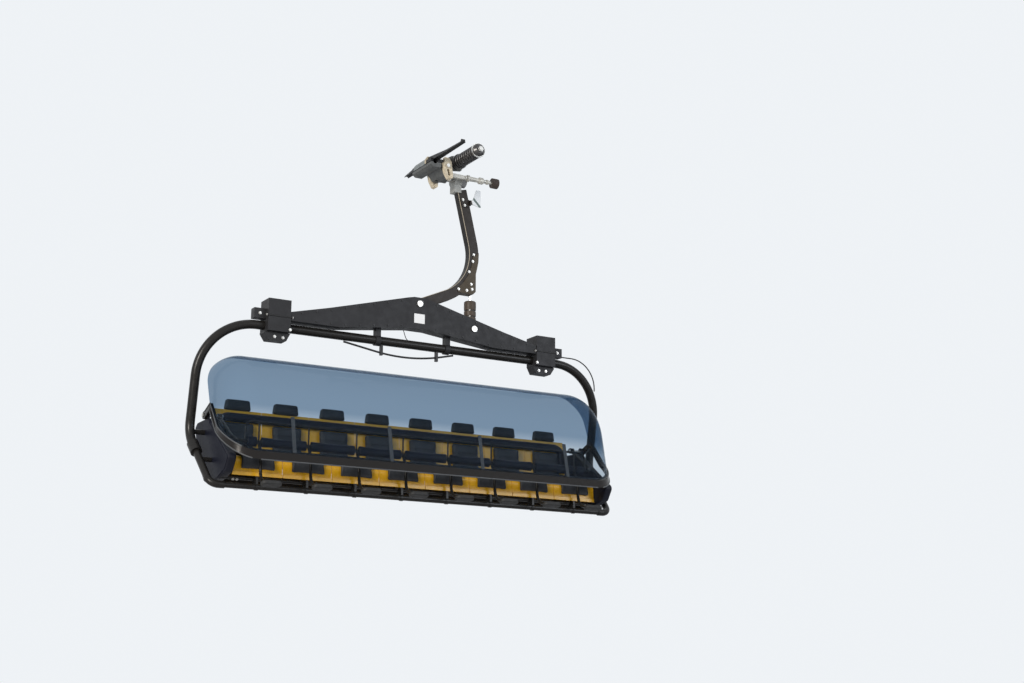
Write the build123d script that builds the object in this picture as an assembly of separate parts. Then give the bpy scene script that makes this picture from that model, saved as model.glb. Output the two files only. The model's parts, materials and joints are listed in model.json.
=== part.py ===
"""Eight-seat bubble chair of a detachable chairlift.

Frame: millimetres, origin on the rope axis under the grip, +Z up, +X across the chair,
the chair travels towards -Y (the bubble is on the -Y side).
"""

import os
from math import acos, atan2, cos, hypot, radians, sin, tan

from build123d import *

os.makedirs("parts", exist_ok=True)

CLEAR = 0.3

# The row of seats sets the width of everything beside it
SEAT_PITCH = 500.0
SEAT_COUNT = 8
SEAT_XS = [SEAT_PITCH * (i - (SEAT_COUNT - 1) / 2) for i in range(SEAT_COUNT)]
ROW_END = SEAT_PITCH * SEAT_COUNT / 2
SHELL_GAP = 6.0
SHELL_WIDE = SEAT_PITCH - SHELL_GAP
SHELL_T = 10.0

# Rope and grip
ROPE_R = 25.0
JAW_REAR_Y = 90.0
JAW_FRONT_Y = -330.0

# Hanger: a box section bent in the plane Y = HANGER_Y
SWING_Y = 40.0
SWING_Z = -30.0
HANGER_Y = 40.0
HANGER_WIDE = 112.0
HANGER_DEEP = 92.0

# Yoke beam
YOKE_PLATE_T = 8.0
YOKE_HALF_GAP = 67.0

# Hoop tube
HOOP_R = 44.5
HOOP_TOP_Z = -1870.0
HOOP_TOP_Y = 70.0
HOOP_X = ROW_END + 260
HOOP_BEND = 550.0
LEG_END_Y = 272.0
LEG_END_Z = -2960.0
LOWER_LEG_R = 35.0
CROSS_Y = -200.0
CROSS_Z = -3478.0
CROSS_R = 27.0
FOOT_X = ROW_END + 195

# Clamps between the yoke and the hoop
CLAMP_X = 1520.0
CLAMP_HALF = 116.0
CLAMP_Y = 60.0
CLAMP_DEEP = 210.0

# Bubble and restraint bar turn on one pivot pin at each side
PIVOT_Y = 200.0
PIVOT_Z = -2780.0
PIN_R = 12.0
BUBBLE_X = ROW_END + 140
BUBBLE_T = 5.0
BUBBLE_END_R = 300.0
BUBBLE_R = 600.0
RIM_Y = -525.0
RIM_Z = -3262.0
BAR_Y = -220.0
BAR_Z = -3060.0
BAR_X = ROW_END - 10


def both_sides(shape):
    """The shape and its mirror image across the plane X = 0."""
    return [shape, mirror(shape, about=Plane.YZ)]


def box(x0, x1, y0, y1, z0, z1):
    """A box between two corners."""
    body = Box(x1 - x0, y1 - y0, z1 - z0)
    return Pos((x0 + x1) / 2, (y0 + y1) / 2, (z0 + z1) / 2) * body


def rod_x(x0, x1, y, z, r):
    """A round bar along X."""
    return Pos((x0 + x1) / 2, y, z) * Rot(0, 90, 0) * Cylinder(r, abs(x1 - x0))


def rod_y(y0, y1, x, z, r):
    """A round bar along Y."""
    return Pos(x, (y0 + y1) / 2, z) * Rot(90, 0, 0) * Cylinder(r, abs(y1 - y0))


def rod_z(z0, z1, x, y, r):
    """A round bar along Z."""
    return Pos(x, y, (z0 + z1) / 2) * Cylinder(r, abs(z1 - z0))


def rod_between(a, b, r):
    """A round bar between two points."""
    start, end = Vector(*a), Vector(*b)
    face = Plane(origin=start, z_dir=end - start) * Circle(r)
    return extrude(face, amount=(end - start).length)


def slab_x(points, x0, x1):
    """A plate whose outline is drawn in Y and Z and which runs from x0 to x1."""
    face = make_face(Polyline(*[(x0, y, z) for y, z in points], close=True))
    return extrude(face, amount=x1 - x0, dir=(1, 0, 0))


def slab_y(points, y0, y1):
    """A plate whose outline is drawn in X and Z and which runs from y0 to y1."""
    face = make_face(Polyline(*[(x, y0, z) for x, z in points], close=True))
    return extrude(face, amount=y1 - y0, dir=(0, 1, 0))


def corner(before, at, after, radius):
    """Start, middle and end of the tangent arc that rounds a corner."""
    before, at, after = Vector(*before), Vector(*at), Vector(*after)
    into = (at - before).normalized()
    out = (after - at).normalized()
    half = radians(into.get_angle(out)) / 2
    reach = radius * tan(half)
    inner = (out - into).normalized()
    middle = at + inner * (radius / cos(half) - radius)
    return at - into * reach, middle, at + out * reach


def bent_path(points, radii):
    """A wire of straight runs joined by tangent arcs, one radius for each inner point."""
    edges = []
    here = Vector(*points[0])
    for i, radius in enumerate(radii, start=1):
        start, middle, end = corner(points[i - 1], points[i], points[i + 1], radius)
        if (start - here).length > 0.01:
            edges.append(Line(here, start))
        edges.append(ThreePointArc(start, middle, end))
        here = end
    edges.append(Line(here, Vector(*points[-1])))
    return Wire(edges)


def strip(points, radii, x_middle, wide, thick):
    """A sheet bent in the plane of Y and Z: `wide` along X, `thick` across the path."""
    pts = [(x_middle, y, z) for y, z in points]
    start = Vector(*pts[0])
    ahead = Vector(*pts[1]) - start
    plane = Plane(origin=start, x_dir=(1, 0, 0), z_dir=ahead)
    return sweep(plane * Rectangle(wide, thick), path=bent_path(pts, radii))


def bent_tube(points, radii, r):
    """A round tube swept along a bent path."""
    path = bent_path(points, radii)
    start = Vector(*points[0])
    ahead = Vector(*points[1]) - start
    return sweep(Plane(origin=start, z_dir=ahead) * Circle(r), path=path)


def save(name, *solids):
    """Write the solids of one node."""
    shapes = []
    for solid in solids:
        shapes.extend(solid if isinstance(solid, list) else [solid])
    bodies = []
    for shape in shapes:
        bodies.extend(shape.solids())
    out = bodies[0] if len(bodies) == 1 else Compound(children=bodies)
    export_step(out, f"parts/{name}.step")


# The grip: two jaws, lugs that carry the jaw's pin, lever, spring and rollers
JAW_PIN = (130.0, -36.0)
JAW_PIN_R = 12.0
LUG_YS = (0.0, -330.0)
LUG_HALF = 25.0
LUG_GAP = 6.0
LEVER_Y = -101.0
LEVER_Z = -30.0
LEVER_HALF = 17.0
ROLLER_AXLE_R = 14.0
COUPLING_ROLLER_R = 54.0
COUPLING_ROLLER_X = (800.0, 868.0)
RUNNING_ROLLER_R = 60.0
RUNNING_ROLLER_X = (490.0, 546.0)
SHAFT_R = 25.0
HEAD_X = (400.0, 484.0)
HEAD_R = 75.0
SPRING_X = 350.0
SPRING_Z = 95.0
SPRING_R = 72.0
SPRING_WIRE = 22.0
SPRING_REAR_Y = -160.0
SPRING_FRONT_Y = -600.0
SPRING_ROD_R = 20.0

LUG_OUTLINE = [
    (86, -4), (100, -4), (100, 56), (150, 50), (176, 16), (186, -60), (196, -120),
    (192, -158), (168, -176), (140, -168), (122, -136), (104, -104), (95, -60),
]

HINGE_OUTLINE = [
    (64, -9), (150, -16), (165, -26), (190, -48), (200, -70),
    (192, -118), (165, -128), (120, -118), (92, -80), (64, -50),
]

# Sections of the fixed jaw's back from its rear tongue to its front tongue:
# place along the rope, half width at the foot, half width at the top, height of the top
TONGUES = [
    [(330.0, 24.0, 19.0, 28.0), (60.0, 34.0, 28.0, 50.0)],
    [(-210.0, 36.0, 26.0, 70.0), (-600.0, 28.0, 20.0, 36.0)],
    [(-600.0, 28.0, 20.0, 36.0), (-930.0, 22.0, 17.0, 28.0)],
]


def tongue(a, b):
    """A tapered piece between two sections that lies on the upper half of the rope."""
    faces = []
    for y, foot, top, high in (a, b):
        outline = [(-foot, y, 12), (foot, y, 12), (top, y, high), (-top, y, high)]
        faces.append(make_face(Polyline(*outline, close=True)))
    return loft(faces)


def fixed_jaw():
    """The upper jaw with its tongues, the ribs on it and the lugs under it."""
    jaw = slab_y([(-52, -4), (-52, 30), (100, 30), (100, -4)], JAW_FRONT_Y, JAW_REAR_Y)
    jaw += slab_y([(-52, 20), (-52, 34), (-30, 64), (60, 64), (100, 44), (100, 20)], -210, 60)
    for a, b in TONGUES:
        jaw += tongue(a, b)
    tip = TONGUES[-1][1][0]
    jaw += rod_x(-18, 18, tip + 16, 32, 16)
    jaw -= rod_y(tip - 1, TONGUES[0][0][0] + 1, 0, 0, ROPE_R)
    save("fixed_jaw", jaw)

    lugs = []
    for y in LUG_YS:
        front, rear = y - LUG_HALF, y + LUG_HALF
        lug = slab_y(LUG_OUTLINE, front, rear)
        lug -= rod_y(front - 1, rear + 1, *JAW_PIN, JAW_PIN_R + 0.05)
        slot = rod_y(front - 1, rear + 1, 140, -82, 15)
        slot += rod_y(front - 1, rear + 1, 152, -126, 15)
        slot += slab_y([(125.5, -78), (154.5, -86), (166.5, -130), (137.5, -122)], front - 1, rear + 1)
        lug -= slot
        lug += rod_y(front - 14, front, 168, -150, 20)
        lugs.append(max((lug - jaw).solids(), key=lambda s: s.volume))
    rib = slab_y([(-60, -4), (-60, 38), (-36, 76), (66, 76), (112, 50), (112, -4)], -222, -206) - jaw
    rib -= rod_y(-230, -200, 0, 0, ROPE_R)
    lugs.append(max(rib.solids(), key=lambda s: s.volume))
    save("jaw_lugs", lugs)

    rear, front = LUG_YS[0] + LUG_HALF, LUG_YS[1] - LUG_HALF
    pin = rod_y(front - 22, rear + 8, *JAW_PIN, JAW_PIN_R)
    pin += rod_y(front - 22, front, *JAW_PIN, 20) + rod_y(rear, rear + 8, *JAW_PIN, 20)
    save("jaw_pin", pin)


def grip():
    """The housing, shaft and spring, which stay with the rope like the fixed jaw."""
    outline = [(100, -4), (100, 30), (170, 46), (280, 36), (300, 4), (300, -60), (240, -70), (150, -44)]
    housing = slab_y(outline, 35, 85)
    housing += rod_x(225, 318, SWING_Y, SWING_Z, 46)
    save("grip_housing", housing)

    shaft = rod_x(318, RUNNING_ROLLER_X[1] + 14, SWING_Y, SWING_Z, SHAFT_R)
    shaft += rod_x(RUNNING_ROLLER_X[1] + 3, RUNNING_ROLLER_X[1] + 14, SWING_Y, SWING_Z, 38)
    save("suspension_shaft", shaft)

    outline = [(100, 0), (100, 50), (280, 160), (330, 172), (400, 150), (424, 95), (400, 20), (260, 0)]
    save("spring_bracket", slab_y(outline, SPRING_REAR_Y, SPRING_REAR_Y + 35))

    coil = rod_y(SPRING_FRONT_Y, SPRING_REAR_Y, SPRING_X, SPRING_Z, SPRING_R)
    coil -= rod_y(SPRING_FRONT_Y - 1, SPRING_REAR_Y + 1, SPRING_X, SPRING_Z, SPRING_R - SPRING_WIRE)
    save("grip_spring", coil)

    ring = SPRING_FRONT_Y - 12
    guide = rod_y(ring - 62, SPRING_REAR_Y, SPRING_X, SPRING_Z, SPRING_ROD_R)
    guide += rod_y(ring, SPRING_FRONT_Y, SPRING_X, SPRING_Z, SPRING_R + 5)
    nut = Pos(SPRING_X, ring - 38, SPRING_Z) * Rot(90, 0, 0) * extrude(RegularPolygon(31, 6), 16)
    save("spring_rod", guide + nut)

    cup = rod_y(SPRING_REAR_Y - 66, SPRING_REAR_Y, SPRING_X, SPRING_Z, SPRING_R + 9)
    cup -= rod_y(SPRING_REAR_Y - 67, SPRING_REAR_Y + 1, SPRING_X, SPRING_Z, SPRING_R + CLEAR)
    profile = [(SPRING_ROD_R + CLEAR, 0), (66, 0), (66, 14), (44, 38), (SPRING_ROD_R + CLEAR, 38)]
    face = make_face(Polyline(*[(SPRING_X + r, ring - along, SPRING_Z) for r, along in profile], close=True))
    cap = revolve(face, Axis((SPRING_X, 0, SPRING_Z), (0, 1, 0)))
    save("spring_cups", cup, cap)


# The lever's round arm: place along X and radius
LEVER_PROFILE = [
    (470, 25), (498, 25), (498, 36), (522, 36), (532, 26), (634, 23), (642, 34), (646, 36), (686, 36),
    (692, 32), (700, 20), (734, 19), (734, 26), (754, 26), (754, 19), (784, 19),
]


def moving_jaw():
    """The lower jaw, its lever and the roller on the lever's end."""
    body_rear, body_front = LUG_YS[0] - LUG_HALF - LUG_GAP, LUG_YS[1] + LUG_HALF + LUG_GAP
    outline = [(-48, -9), (-48, -36), (-20, -60), (60, -60), (70, -50), (70, -9)]
    jaw = slab_y(outline, JAW_FRONT_Y, JAW_REAR_Y)
    jaw += slab_y(HINGE_OUTLINE, body_front, body_rear)
    jaw -= rod_y(JAW_FRONT_Y - 1, JAW_REAR_Y + 1, 0, 0, ROPE_R)
    jaw -= box(124, 210, LEVER_Y - LEVER_HALF, LEVER_Y + LEVER_HALF, -140, 0)
    pin_hole = rod_y(body_front - 1, body_rear + 1, *JAW_PIN, JAW_PIN_R + CLEAR)
    save("moving_jaw", jaw - pin_hole)

    outline = [(124, -70), (200, -74), (300, -52), (480, -50), (480, -10), (300, -8), (200, -20), (124, -20)]
    lever = slab_y(outline, LEVER_Y - LEVER_HALF, LEVER_Y + LEVER_HALF)
    profile = [(LEVER_PROFILE[0][0], 0), *LEVER_PROFILE, (LEVER_PROFILE[-1][0], 0)]
    face = make_face(Polyline(*[(x, LEVER_Y, LEVER_Z + r) for x, r in profile], close=True))
    lever += revolve(face, Axis((0, LEVER_Y, LEVER_Z), (1, 0, 0)))
    lever += rod_x(780, 880, LEVER_Y, LEVER_Z, ROLLER_AXLE_R)
    save("coupling_lever", lever - pin_hole)

    x0, x1 = COUPLING_ROLLER_X
    roller = rod_x(x0, x1, LEVER_Y, LEVER_Z, COUPLING_ROLLER_R)
    save("coupling_roller", roller - rod_x(x0 - 1, x1 + 1, LEVER_Y, LEVER_Z, ROLLER_AXLE_R + CLEAR))

    x0, x1 = RUNNING_ROLLER_X
    roller = rod_x(x0, x1, SWING_Y, SWING_Z, RUNNING_ROLLER_R)
    save("running_roller", roller - rod_x(x0 - 1, x1 + 1, SWING_Y, SWING_Z, SHAFT_R + CLEAR))


# The hanger: a box section bent in the plane Y = HANGER_Y
HANGER_PATH = [(470.0, -30.0), (735.0, -1130.0), (0.0, -1455.0)]
HANGER_BEND = 520.0
HANGER_START = 105.0
PIN_1 = (0.0, -1455.0)
PIN_2 = (640.0, -1640.0)
PIN_HOLE_R = 20.0
DAMPER_X = 630.0
FOOT_END_X = 668.0
FOOT_Z = -1260.0
FOOT_INNER_X = 460.0
BELLOWS_ZS = (-1332.0, -1434.0, -1500.0, -1562.0)
BELLOWS_R = 63.0


def on_bend(degrees, out):
    """A point in X and Z on the hanger's bend, at an angle and this far outside its middle line."""
    before, at, after = [Vector(x, 0, z) for x, z in HANGER_PATH]
    start, _, _ = corner(before, at, after, HANGER_BEND)
    ahead = (at - before).normalized()
    centre_x = start.X + HANGER_BEND * ahead.Z
    centre_z = start.Z - HANGER_BEND * ahead.X
    reach = HANGER_BEND + out
    return centre_x + reach * cos(radians(degrees)), centre_z + reach * sin(radians(degrees))


def hanger():
    """Head, arm, foot, damper and guide fin."""
    points = [Vector(x, HANGER_Y, z) for x, z in HANGER_PATH]
    ahead = (points[1] - points[0]).normalized()
    start = points[0] + ahead * HANGER_START
    plane = Plane(origin=start, x_dir=(0, 1, 0), z_dir=ahead)
    path = bent_path([tuple(start), tuple(points[1]), tuple(points[2])], [HANGER_BEND])
    arm = sweep(plane * RectangleRounded(HANGER_DEEP, HANGER_WIDE, 8), path=path)
    y0, y1 = HANGER_Y - HANGER_DEEP / 2, HANGER_Y + HANGER_DEEP / 2
    arm += rod_y(y0, y1, PIN_1[0], PIN_1[1], 66)
    arm -= rod_y(y0 - 1, y1 + 1, PIN_1[0], PIN_1[1], PIN_HOLE_R + CLEAR)
    save("hanger_arm", arm)

    head = box(HEAD_X[0], HEAD_X[1], y0 - 4, y1 + 4, -168, SWING_Z) - arm
    head = max(head.solids(), key=lambda s: s.volume)
    head += rod_x(HEAD_X[0], HEAD_X[1], SWING_Y, SWING_Z, HEAD_R)
    head -= rod_x(HEAD_X[0] - 1, HEAD_X[1] + 1, SWING_Y, SWING_Z, SHAFT_R + CLEAR)
    save("hanger_head", head)

    end_x, end_z = FOOT_END_X, FOOT_Z
    corner_points = [(end_x, end_z + 30), (end_x - 30, end_z), (FOOT_INNER_X, end_z)]
    outline = [on_bend(-14, 0), (end_x, on_bend(-21, 0)[1]), *corner_points]
    outline += [on_bend(angle, 0) for angle in (-50, -40, -28)]
    core = slab_y(outline, y0, y1) - arm
    foot = max(core.solids(), key=lambda s: s.volume)
    outline = [on_bend(angle, 54) for angle in (3, -7, -16)]
    outline += [(end_x, on_bend(-21, 56)[1]), *corner_points]
    outline += [on_bend(angle, -15) for angle in (-50, -39, -27, -15, -3)]
    for face_y in (y0 - 8, y1):
        foot += slab_y(outline, face_y, face_y + 8)
    save("hanger_foot", foot)

    save("damper_rod", rod_z(BELLOWS_ZS[0], end_z, DAMPER_X, HANGER_Y, 15))
    points = [(16, BELLOWS_ZS[0]), (BELLOWS_R - 8, BELLOWS_ZS[0])]
    for top, end in zip(BELLOWS_ZS, BELLOWS_ZS[1:]):
        points += [(BELLOWS_R, top - 9), (BELLOWS_R + 1, (top + end) / 2)]
        points += [(BELLOWS_R, end + 9), (BELLOWS_R - 8, end)]
    points.append((16, BELLOWS_ZS[-1]))
    face = make_face(Polyline(*[(DAMPER_X + r, HANGER_Y, z) for r, z in points], close=True))
    save("damper_bellows", revolve(face, Axis((DAMPER_X, HANGER_Y, 0), (0, 0, 1))))
    seat = rod_z(BELLOWS_ZS[-1] - 20, BELLOWS_ZS[-1], DAMPER_X, HANGER_Y, 63)
    seat += box(DAMPER_X - 60, DAMPER_X + 60, HANGER_Y - 66, HANGER_Y + 66, -1690, BELLOWS_ZS[-1] - 20)
    seat -= rod_y(HANGER_Y - 70, HANGER_Y + 70, PIN_2[0], PIN_2[1], PIN_HOLE_R + CLEAR)
    save("damper_seat", seat)

    outline = [(470, -226), (556, -226), (600, -246), (600, -292), (556, -318), (492, -318)]
    bracket = slab_y(outline, y0 - 12, y0)
    bracket += box(572, 584, y0 - 34, y0 - 12, -292, -246)
    bracket += box(572, 612, y0 - 44, y0 - 34, -292, -246)
    save("fin_bracket", bracket)
    outline = [(640, -126), (690, -124), (692, -312), (600, -296), (586, -250), (606, -226)]
    save("guide_fin", slab_y(outline, y0 - 54, y0 - 44))


# The yoke's outline in X and Z, its upper edge from left to right and its lower edge back again
YOKE_TOP = [
    (-1404, -1725), (-1000, -1630), (-130, -1403), (-60, -1388),
    (60, -1388), (130, -1403), (1000, -1630), (1404, -1725),
]
YOKE_BOTTOM = [(1404, -1812), (880, -1812), (100, -1717), (-100, -1717), (-880, -1812), (-1404, -1812)]
LINK_XS = (-425.0, 368.0)


def yoke():
    """Two plates with webs between them, links to the hoop, the pins and the blank plate."""
    front0 = HANGER_Y - YOKE_HALF_GAP - YOKE_PLATE_T
    front1 = HANGER_Y - YOKE_HALF_GAP
    rear0 = HANGER_Y + YOKE_HALF_GAP
    rear1 = HANGER_Y + YOKE_HALF_GAP + YOKE_PLATE_T
    for name, y0, y1 in (("yoke_front_plate", front0, front1), ("yoke_rear_plate", rear0, rear1)):
        plate = slab_y(YOKE_TOP + YOKE_BOTTOM, y0, y1)
        for x, z in (PIN_1, PIN_2):
            plate -= rod_y(y0 - 1, y1 + 1, x, z, PIN_HOLE_R + CLEAR)
        save(name, plate)

    lift = 8
    inner = [(x, z + lift) for x, z in reversed(YOKE_BOTTOM)]
    web = slab_y(YOKE_BOTTOM + inner, front1, rear0)
    ribs = [box(x - 4, x + 4, front1, rear0, -1804, -1690) for x in (-1200, -800, 800, 1200)]
    save("yoke_web", web, [rib - web for rib in ribs])

    links = []
    tube = rod_x(-CLAMP_X, CLAMP_X, HOOP_TOP_Y, HOOP_TOP_Z, HOOP_R + 0.2)
    for x in LINK_XS:
        link = box(x - 27, x + 27, HOOP_TOP_Y - 40, HOOP_TOP_Y + 30, HOOP_TOP_Z, -1700) - web
        link = min(link.solids(), key=lambda s: s.center().Z)
        link += rod_x(x - 27, x + 27, HOOP_TOP_Y, HOOP_TOP_Z, HOOP_R + 12)
        links.append(link - tube)
    save("link_brackets", links)

    pins = []
    for x, z in (PIN_1, PIN_2):
        pin = rod_y(front0 - 10, rear1 + 10, x, z, PIN_HOLE_R)
        pin += rod_y(front0 - 16, front0, x, z, 32) + rod_y(rear1, rear1 + 16, x, z, 32)
        pins.append(pin)
    side0, side1 = HANGER_Y - HANGER_DEEP / 2, HANGER_Y + HANGER_DEEP / 2
    pins[0] += rod_y(front1, side0, *PIN_1, 36) + rod_y(side1, rear0, *PIN_1, 36)
    save("yoke_pins", pins)
    save("number_plate", box(-60, 60, front0 - 2, front0, -1660, -1562))


def clamps():
    """Clamp blocks on the yoke's ends and the saddles that hold the hoop tube."""
    x0, x1 = CLAMP_X - CLAMP_HALF, CLAMP_X + CLAMP_HALF
    y0, y1 = CLAMP_Y - CLAMP_DEEP / 2, CLAMP_Y + CLAMP_DEEP / 2
    block = box(x0, x1, y0, y1, -1784, -1614)
    block += box(x1, x1 + 122, CLAMP_Y - 45, CLAMP_Y + 45, -1812, -1712)
    save("clamp_blocks", both_sides(block))
    saddle = box(x0, x1, y0, y1, -1934, -1784.3)
    jaw = [(x0 - 20, -1934), (x0 + 20, -2012), (x1 - 30, -2014), (x1 + 14, -1948), (x1 + 14, -1934)]
    saddle += slab_y(jaw, 5, 135)
    saddle -= rod_x(x0 - 30, x1 + 30, HOOP_TOP_Y, HOOP_TOP_Z, HOOP_R + 0.2)
    save("clamp_saddles", both_sides(saddle))


LEG_CORNER = Vector(HOOP_X, LEG_END_Y, LEG_END_Z)
FOOT = Vector(FOOT_X, CROSS_Y, CROSS_Z)
LEG_AIM = (FOOT - LEG_CORNER).normalized()
CROSS_END_X = ROW_END + 60
SLEEVE_START = 135.0
SLEEVE_JOINT = 195.0
SLEEVE_END = 262.0


# Clips on the cable bundle: place along the tube and lower end
CLIPS = [(-374.0, -2018.0), (255.0, -2012.0)]


def on_lower_leg(distance):
    """The point this far down the lower leg from the hoop's corner."""
    return tuple(LEG_CORNER + LEG_AIM * distance)


def hoop():
    """Top tube, side tubes, sleeves, lower legs and the cross tube. Returns the right side's tubes."""
    save("hoop_top_tube", rod_x(-CLAMP_X, CLAMP_X, HOOP_TOP_Y, HOOP_TOP_Z, HOOP_R))
    points = [
        (CLAMP_X, HOOP_TOP_Y, HOOP_TOP_Z),
        (HOOP_X, HOOP_TOP_Y, HOOP_TOP_Z),
        (HOOP_X, LEG_END_Y, LEG_END_Z),
        on_lower_leg(SLEEVE_JOINT),
    ]
    side = bent_tube(points, [HOOP_BEND, 250], HOOP_R)
    save("hoop_side_tubes", both_sides(side))

    points = [on_lower_leg(SLEEVE_JOINT), tuple(FOOT), (CROSS_END_X, CROSS_Y, CROSS_Z)]
    lower = bent_tube(points, [90], LOWER_LEG_R)
    save("lower_legs", both_sides(lower))

    sleeve = rod_between(on_lower_leg(SLEEVE_START), on_lower_leg(SLEEVE_END), 56)
    sleeve -= rod_between(on_lower_leg(SLEEVE_START - 5), on_lower_leg(SLEEVE_JOINT), HOOP_R + 0.2)
    sleeve -= rod_between(on_lower_leg(SLEEVE_JOINT), on_lower_leg(SLEEVE_END + 5), LOWER_LEG_R + 0.2)
    save("leg_sleeves", both_sides(sleeve))

    cross = rod_x(-CROSS_END_X, CROSS_END_X, CROSS_Y, CROSS_Z, CROSS_R)
    save("cross_tube", cross)
    return side, lower, cross


def cables(side):
    """Cable over the right-hand bend, the bundle under the top tube with its clips, and a thin wire."""
    wing_end = CLAMP_X + CLAMP_HALF + 122
    over = bent_tube([(wing_end, 75, -1788), (2208, 75, -1788), (2216, 75, -2120)], [300], 6.5) - side
    over = max(over.solids(), key=lambda s: s.volume)

    tube = rod_x(-CLAMP_X, CLAMP_X, HOOP_TOP_Y, HOOP_TOP_Z, HOOP_R + CLEAR)
    points = [(-790, HOOP_TOP_Y, -1926), (-60, HOOP_TOP_Y, -2046), (450, HOOP_TOP_Y, -1926)]
    under = bent_tube(points, [1900], 10) - tube
    under = max(under.solids(), key=lambda s: s.volume)
    wire = bent_tube([(-150, 30, -1732), (-112, 30, -1838), (-10, 52, -1858)], [70], 4) - tube
    wire = max(wire.solids(), key=lambda s: s.volume)
    save("cables", over, under, wire)

    clips = []
    for x, low in CLIPS:
        clip = box(x - 13, x + 13, HOOP_TOP_Y - 17, HOOP_TOP_Y + 17, low, HOOP_TOP_Z) - tube - under
        clips.append(max(clip.solids(), key=lambda s: s.volume))
    save("cable_clips", clips)


# Seats: shells, cushions and the frame under them
SHELL_PATH = [(388.0, -2668.0), (320.0, -3235.0), (-205.0, -3190.0), (-212.0, -3350.0)]
SHELL_BENDS = [110.0, 60.0]
BEAM_Y = (40.0, 120.0)
BEAM_Z = (-3438.0, -3330.0)
RAIL_Y = 395.0
RAIL_Z = -2905.0
RAIL_R = 21.0
FRONT_RAIL = (-165.0, -3402.0)
FRONT_RAIL_R = 17.0
FRONT_RAIL_END = ROW_END + 85


def shell_at(x, wide, thick):
    """One seat shell bent from back to front lip."""
    body = strip(SHELL_PATH, SHELL_BENDS, x, wide, thick)
    if thick == SHELL_T:
        body += box(x - wide / 2, x + wide / 2, -229, -207, -3380, -3348)
    return body


def along_back(distance, out):
    """A point in Y and Z this far down the back and this far out in front of the shell's middle."""
    (y0, z0), (y1, z1) = SHELL_PATH[0], SHELL_PATH[1]
    length = hypot(y1 - y0, z1 - z0)
    dy, dz = (y1 - y0) / length, (z1 - z0) / length
    return y0 + dy * distance + dz * out, z0 + dz * distance - dy * out


def back_pad(x, wide, start, end, near, far, bevel):
    """A soft block in front of the back, between two distances down the back."""
    corners = [along_back(start, near), along_back(start, far), along_back(end, far), along_back(end, near)]
    block = slab_x(corners, x - wide / 2, x + wide / 2)
    return chamfer(block.edges(), bevel)


# The bolster along the tops of the backs: distances down the back and its ends
BOLSTER_TOP = 41.0
BOLSTER_TALL = 85.0
BOLSTER_LEG = 300.0
BOLSTER_HALF = ROW_END - 5


def bolster():
    """A padded roll along the tops of the backs that turns down at both ends."""
    faces = []
    for inset, extra, radius in ((0, 0, 150), (BOLSTER_TALL, 10, 32)):
        tall = BOLSTER_LEG - BOLSTER_TOP - inset + extra
        sheet = Rectangle(2 * (BOLSTER_HALF - inset), tall)
        sheet = fillet(sheet.vertices().group_by(Axis.Y)[-1], radius)
        faces.append(Pos(0, -BOLSTER_TOP - inset - tall / 2) * sheet)
    near = SHELL_T / 2 + 0.5
    origin, out = Vector(0, *along_back(0, near)), Vector(0, *along_back(0, near + 1))
    plane = Plane(origin=origin, x_dir=(1, 0, 0), z_dir=out - origin)
    roll = extrude(plane * (faces[0] - faces[1]), amount=68)
    return chamfer(roll.edges(), 18)


def seat_cushion(x):
    """A cushion that lies on the pan and wraps over the front edge."""
    wide = 330
    start, middle, end = corner(
        (0, *SHELL_PATH[1]), (0, *SHELL_PATH[2]), (0, *SHELL_PATH[3]), SHELL_BENDS[1])
    x0 = x - wide / 2
    edges = [
        Line((x0, 262, -3230), (x0, start.Y, start.Z)),
        ThreePointArc((x0, start.Y, start.Z), (x0, middle.Y, middle.Z), (x0, end.Y, end.Z)),
        Line((x0, end.Y, end.Z), (x0, -211, -3325)),
        Line((x0, -211, -3325), (x0, -243, -3318)),
        Line((x0, -243, -3318), (x0, -243, -3205)),
        Line((x0, -243, -3205), (x0, -205, -3128)),
        Line((x0, -205, -3128), (x0, 262, -3168)),
        Line((x0, 262, -3168), (x0, 262, -3230)),
    ]
    block = extrude(make_face(Wire(edges)), amount=wide, dir=(1, 0, 0))
    block -= strip(SHELL_PATH, SHELL_BENDS, x, wide + 20, SHELL_T + 1)
    return max(block.solids(), key=lambda s: s.volume)


# Corners of a headrest: side of its middle, half width there and height
HEADREST_CORNERS = [(-1, 133, -2667), (-1, 118, -2567), (1, 118, -2567), (1, 133, -2667)]
HEADREST_Y = (358.0, 416.0)

# Outlines of the end pads and of the plates on them, in Y and Z
PAD_OUTLINE = [
    (556, -2852),
    (492, -2802),
    (170, -2802),
    (-430, -3235),
    (-340, -3372),
    (-150, -3424),
    (80, -3456),
    (225, -3412),
    (470, -3190),
]
CHEEK_OUTLINE = [
    (536, -2852),
    (478, -2812),
    (266, -2808),
    (244, PIVOT_Z + 18),
    (PIVOT_Y, PIVOT_Z + 44),
    (156, PIVOT_Z + 18),
    (130, -2858),
    (-40, -2980),
    (-405, -3244),
    (-325, -3352),
    (-150, -3408),
    (90, -3444),
    (215, -3400),
    (405, -3200),
]
PAD_X = (ROW_END + 30, ROW_END + 103.5)
CHEEK_X = (PAD_X[1] + 0.5, PAD_X[1] + 8.5)
UPPER_BOSS = (262.0, -2935.0)
LOWER_BOSS_AT = 360.0


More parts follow.
